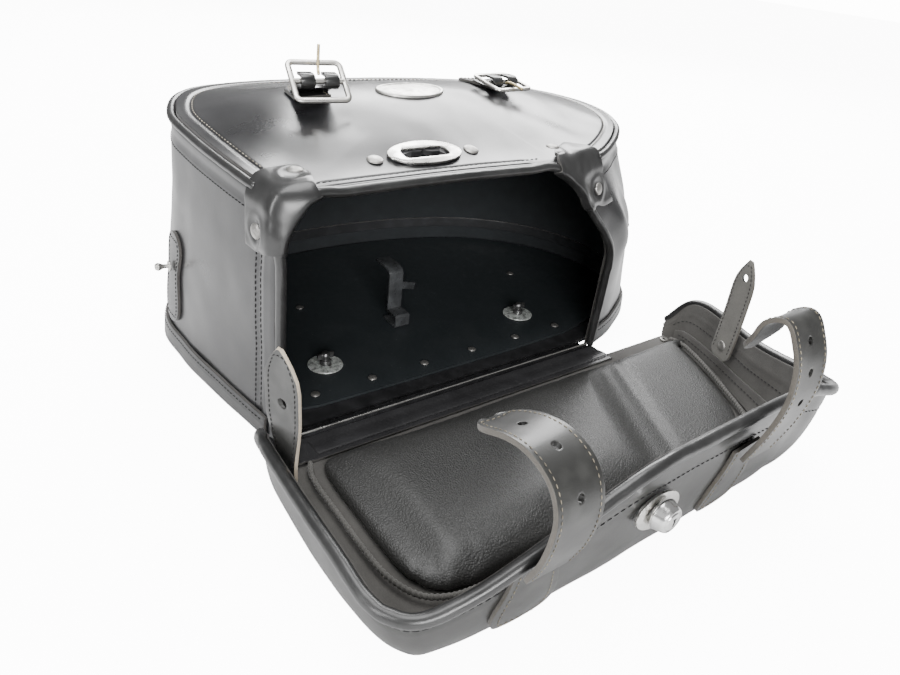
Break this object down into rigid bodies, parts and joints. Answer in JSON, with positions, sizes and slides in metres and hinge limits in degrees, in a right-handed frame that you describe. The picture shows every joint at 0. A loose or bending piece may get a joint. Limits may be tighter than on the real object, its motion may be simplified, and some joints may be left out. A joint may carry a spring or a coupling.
{
  "type": "motorcycle saddlebag",
  "caption": "Hard-backed black leather side bag for a motorcycle with a hinged lid, closing straps, buckles, a lid lock and quarter-turn mounting studs; shown open.",
  "frame": {"origin": "underside of the back plate, midway between the two mounting studs", "axes": "+X along the lid's hinge, +Y from the hinge to the rounded far side of the bag, +Z away from the motorcycle, square to the back plate"},
  "size_m": [0.5051, 0.5546, 0.2592],
  "materials": {
    "black_leather": "semi-gloss grain leather",
    "grey_suede": "worn suede",
    "pad_leatherette": "pebbled leatherette",
    "black_board": "smooth lining board",
    "black_steel": "black enamel",
    "nickel": "nickel plate",
    "pewter": "dark nickel",
    "zinc": "mottled zinc plate",
    "brass": "brass"
  },
  "bodies": {
    "bag": {"back_plate": "black_steel", "stiffener_board": "black_board", "back_binding": "black_leather", "edge_channel": "nickel", "hinge_flap": "black_leather", "latch_bracket": "black_steel", "gusset_wall": "black_leather", "front_panel": "black_leather", "front_welt": "black_leather", "mouth_binding": "black_leather", "corner_cap_left": "black_leather", "corner_cap_right": "black_leather", "cap_rivet_left_top": "pewter", "cap_rivet_left_side": "pewter", "cap_rivet_right_top": "pewter", "cap_rivet_right_side": "pewter", "lock_escutcheon": "nickel", "escutcheon_rivet_left": "pewter", "escutcheon_rivet_right": "pewter", "oval_badge": "nickel", "buckle_strap_left": "black_leather", "buckle_strap_right": "black_leather", "bail_washer_left": "zinc", "bail_washer_right": "zinc", "side_patch_left": "black_leather", "side_patch_right": "black_leather", "side_stud_left": "nickel", "side_stud_right": "nickel", "board_rivet_01": "pewter", "board_rivet_02": "pewter", "board_rivet_03": "pewter", "board_rivet_04": "pewter", "board_rivet_05": "pewter", "board_rivet_06": "pewter", "board_rivet_07": "pewter", "board_rivet_08": "pewter"},
    "lid": {"lid_shell": "black_leather", "lid_rim_binding": "black_leather", "liner_pad": "pad_leatherette", "strap_patch_left": "black_leather", "strap_patch_right": "black_leather", "lock_base": "nickel", "lid_eyelet_left": "nickel", "lid_eyelet_right": "nickel"},
    "strap_left": {"strap_left": "black_leather"},
    "strap_right": {"strap_right": "black_leather"},
    "lock_core": {"lock_knob": "nickel", "lock_tongue": "nickel"},
    "tab_base_left": {"tab_base_left": "black_leather", "tab_rivet_left": "pewter"},
    "tab_base_right": {"tab_base_right": "grey_suede", "tab_rivet_right": "pewter"},
    "tab_left": {"tab_left": "black_leather"},
    "tab_right": {"tab_right": "grey_suede"},
    "buckle_left": {"buckle_frame_left": "nickel"},
    "buckle_right": {"buckle_frame_right": "nickel"},
    "prong_left": {"buckle_prong_left": "brass"},
    "prong_right": {"buckle_prong_right": "brass"},
    "stud_left": {"bail_stud_left": "black_steel"},
    "stud_right": {"bail_stud_right": "black_steel"}
  },
  "joints": [
    {"name": "lid_hinge", "type": "hinge", "parent": "bag", "child": "lid", "pos_m": [0, -0.087, 0.01], "axis": [-1, 0, 0], "range_deg": [0, 90]},
    {"name": "strap_left_fold", "type": "hinge", "parent": "lid", "child": "strap_left", "pos_m": [-0.137, -0.2995, 0.067], "axis": [1, 0, 0], "range_deg": [0, 75]},
    {"name": "strap_right_fold", "type": "hinge", "parent": "lid", "child": "strap_right", "pos_m": [0.045, -0.3005, 0.071], "axis": [1, 0, 0], "range_deg": [0, 45]},
    {"name": "lock_turn", "type": "hinge", "parent": "lid", "child": "lock_core", "pos_m": [-0.048, -0.2964, 0.064], "axis": [0, -1, 0], "range_deg": [0, 90]},
    {"name": "tab_left_swivel", "type": "hinge", "parent": "lid", "child": "tab_base_left", "pos_m": [-0.2032, -0.13, 0.035], "axis": [1, 0, 0], "range_deg": [-12, 12]},
    {"name": "tab_right_swivel", "type": "hinge", "parent": "lid", "child": "tab_base_right", "pos_m": [0.2085, -0.174, 0.038], "axis": [0.9397, -0.342, 0], "range_deg": [-8, 3]},
    {"name": "tab_left_fold", "type": "hinge", "parent": "tab_base_left", "child": "tab_left", "pos_m": [-0.2044, -0.13, 0.058], "axis": [0, -1, 0], "range_deg": [0, 30]},
    {"name": "tab_right_fold", "type": "hinge", "parent": "tab_base_right", "child": "tab_right", "pos_m": [0.20963, -0.17441, 0.053], "axis": [0.342, 0.9397, 0], "range_deg": [0, 75]},
    {"name": "buckle_left_tilt", "type": "hinge", "parent": "bag", "child": "buckle_left", "pos_m": [-0.096, 0.046, 0.23288], "axis": [0.9925, -0.1219, 0], "range_deg": [-40, 15]},
    {"name": "buckle_right_tilt", "type": "hinge", "parent": "bag", "child": "buckle_right", "pos_m": [0.098, 0.06, 0.22599], "axis": [0.9945, 0.1045, 0], "range_deg": [-6, 12]},
    {"name": "prong_left_swing", "type": "hinge", "parent": "buckle_left", "child": "prong_left", "pos_m": [-0.096, 0.046, 0.23288], "axis": [0.9925, -0.1219, 0], "range_deg": [-20, 112]},
    {"name": "prong_right_swing", "type": "hinge", "parent": "buckle_right", "child": "prong_right", "pos_m": [0.098, 0.06, 0.22599], "axis": [0.9945, 0.1045, 0], "range_deg": [-120, 0]},
    {"name": "stud_left_turn", "type": "hinge", "parent": "bag", "child": "stud_left", "pos_m": [-0.11, 0, 0.007], "axis": [0, 0, 1], "range_deg": [0, 90]},
    {"name": "stud_right_turn", "type": "hinge", "parent": "bag", "child": "stud_right", "pos_m": [0.11, 0, 0.007], "axis": [0, 0, 1], "range_deg": [0, 90]}
  ],
  "couplings": [
    {"joint": "strap_left_fold", "follows": "lid_hinge", "ratio": 0.7778},
    {"joint": "strap_right_fold", "follows": "lid_hinge", "ratio": 0.3889},
    {"joint": "tab_left_fold", "follows": "lid_hinge", "ratio": 0.1667},
    {"joint": "tab_right_fold", "follows": "lid_hinge", "ratio": 0.7333}
  ]
}
